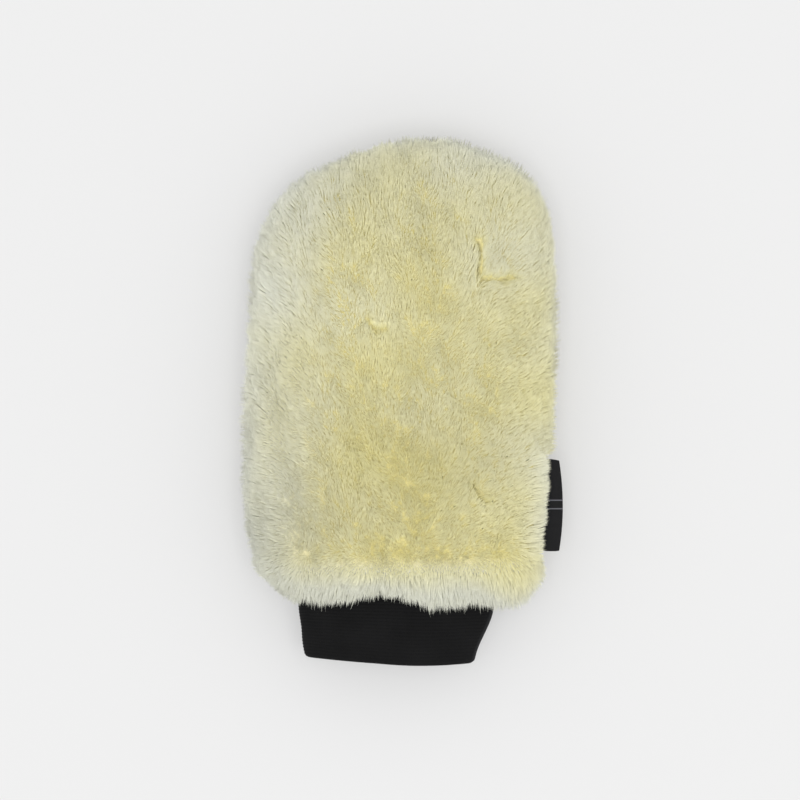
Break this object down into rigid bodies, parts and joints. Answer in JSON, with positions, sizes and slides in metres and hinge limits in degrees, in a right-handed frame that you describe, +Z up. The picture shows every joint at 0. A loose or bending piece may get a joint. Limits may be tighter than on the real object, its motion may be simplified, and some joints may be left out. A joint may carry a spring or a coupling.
{
  "type": "wash mitt",
  "caption": "Plush wash mitt lying flat: long-pile bag with lined hand pocket, folded rib-knit cuff at its mouth and a folded tape label in the side seam.",
  "frame": {"origin": "on the flat underside of the mitt, below the middle of its bounding box", "axes": "+Z up through the mitt's thickness, +Y from the cuff to the fingertips, +X to the side with the label"},
  "size_m": [0.1672, 0.2748, 0.06],
  "materials": {
    "plush_pile": "soft matt pile",
    "plush_backing": "matt knit",
    "lining_cloth": "matt knit",
    "cream_thread": "soft sheen",
    "black_knit": "matt rib knit",
    "black_thread": "soft sheen",
    "label_ribbon": "satin weave"
  },
  "bodies": {
    "bag": {"upper_pile": "plush_pile", "lower_pile": "plush_pile", "upper_backing": "plush_backing", "lower_backing": "plush_backing", "upper_lining": "lining_cloth", "lower_lining": "lining_cloth", "side_seam_thread": "cream_thread", "lining_seam_thread": "cream_thread"},
    "cuff": {"cuff_band": "black_knit", "cuff_join_thread": "black_thread", "cuff_closing_thread": "black_thread"},
    "label": {"label_tape": "label_ribbon"}
  },
  "joints": [
    {"name": "cuff_flex", "type": "hinge", "parent": "bag", "child": "cuff", "pos_m": [-0.004, -0.095, 0.026], "axis": [-1, 0, 0], "range_deg": [-18, 28], "stiffness_Nm_per_rad": 0.03},
    {"name": "label_swing", "type": "hinge", "parent": "bag", "child": "label", "pos_m": [0.0685, -0.054, 0.026], "axis": [0, -1, 0], "range_deg": [-20, 20], "stiffness_Nm_per_rad": 0.0005}
  ]
}
